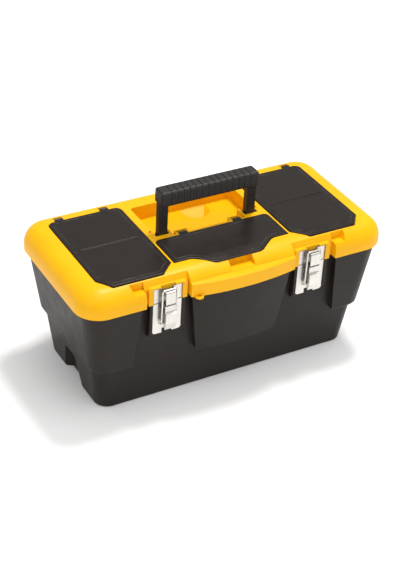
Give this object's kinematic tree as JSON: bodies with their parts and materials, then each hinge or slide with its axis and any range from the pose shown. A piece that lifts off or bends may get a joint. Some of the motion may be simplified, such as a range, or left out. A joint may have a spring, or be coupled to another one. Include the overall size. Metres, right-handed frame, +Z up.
{
  "type": "toolbox with tray",
  "caption": "Plastic toolbox with a hinged organiser lid, flap-covered bins, a folding carry handle, draw latches and a lift-out tray.",
  "frame": {"origin": "on the floor, at the middle of the tub's underside", "axes": "+X along the length to the right, +Y to the rear (hinge side), +Z up"},
  "size_m": [0.41, 0.2124, 0.2382],
  "materials": {
    "tub_plastic": "fine grained, slightly satin",
    "lid_plastic": "satin with a soft sheen",
    "flap_plastic": "satin with polished lips",
    "handle_plastic": "matt, fine grained",
    "tray_plastic": "matt, fine grained",
    "plated_steel": "bright nickel plated, lightly brushed",
    "wire_steel": "bright nickel plated wire",
    "pin_steel": "drawn steel",
    "rivet_metal": "satin"
  },
  "bodies": {
    "base": {"base_tub": "tub_plastic", "hinge_pin_left": "pin_steel", "hinge_pin_right": "pin_steel", "latch_plate_left": "plated_steel", "latch_plate_right": "plated_steel", "latch_pin_left": "pin_steel", "latch_pin_right": "pin_steel", "latch_rivets": "rivet_metal"},
    "lid": {"lid_shell": "lid_plastic", "strike_plate_left": "plated_steel", "strike_plate_right": "plated_steel", "strike_rivets": "rivet_metal"},
    "tray": {"tray": "tray_plastic"},
    "handle": {"carry_handle": "handle_plastic"},
    "flap_left": {"flap_left": "flap_plastic"},
    "flap_right": {"flap_right": "flap_plastic"},
    "flap_center": {"flap_center": "flap_plastic"},
    "lever_left": {"latch_lever_left": "plated_steel"},
    "bail_left": {"latch_bail_left": "wire_steel"},
    "lever_right": {"latch_lever_right": "plated_steel"},
    "bail_right": {"latch_bail_right": "wire_steel"}
  },
  "joints": [
    {"name": "lid_hinge", "type": "hinge", "parent": "base", "child": "lid", "pos_m": [0, 0.102, 0.149], "axis": [-1, 0, 0], "range_deg": [0, 100]},
    {"name": "tray_lift", "type": "slide", "parent": "base", "child": "tray", "axis": [0, 0, 1], "range_m": [0, 0.05]},
    {"name": "handle_fold", "type": "hinge", "parent": "lid", "child": "handle", "pos_m": [0, -0.0018, 0.1755], "axis": [-1, 0, 0], "range_deg": [0, 90]},
    {"name": "flap_left_hinge", "type": "hinge", "parent": "lid", "child": "flap_left", "pos_m": [-0.13, 0.0765, 0.1773], "axis": [-1, 0, 0], "range_deg": [0, 100]},
    {"name": "flap_right_hinge", "type": "hinge", "parent": "lid", "child": "flap_right", "pos_m": [0.13, 0.0765, 0.1773], "axis": [-1, 0, 0], "range_deg": [0, 100]},
    {"name": "flap_center_hinge", "type": "hinge", "parent": "lid", "child": "flap_center", "pos_m": [0, -0.0102, 0.1773], "axis": [-1, 0, 0], "range_deg": [0, 75]},
    {"name": "latch_lever_left", "type": "hinge", "parent": "base", "child": "lever_left", "pos_m": [-0.0974, -0.0952, 0.1438], "axis": [-1, 0, 0], "range_deg": [0, 85]},
    {"name": "latch_bail_left", "type": "hinge", "parent": "lever_left", "child": "bail_left", "pos_m": [-0.0974, -0.0955, 0.1214], "axis": [-1, 0, 0], "range_deg": [-85, 0]},
    {"name": "latch_lever_right", "type": "hinge", "parent": "base", "child": "lever_right", "pos_m": [0.0974, -0.0952, 0.1438], "axis": [-1, 0, 0], "range_deg": [0, 85]},
    {"name": "latch_bail_right", "type": "hinge", "parent": "lever_right", "child": "bail_right", "pos_m": [0.0974, -0.0955, 0.1214], "axis": [-1, 0, 0], "range_deg": [-85, 0]}
  ],
  "couplings": [
    {"joint": "tray_lift", "follows": "lid_hinge", "m_per_rad": 0.0286},
    {"joint": "latch_bail_left", "follows": "latch_lever_left", "ratio": -1},
    {"joint": "latch_bail_right", "follows": "latch_lever_right", "ratio": -1}
  ]
}
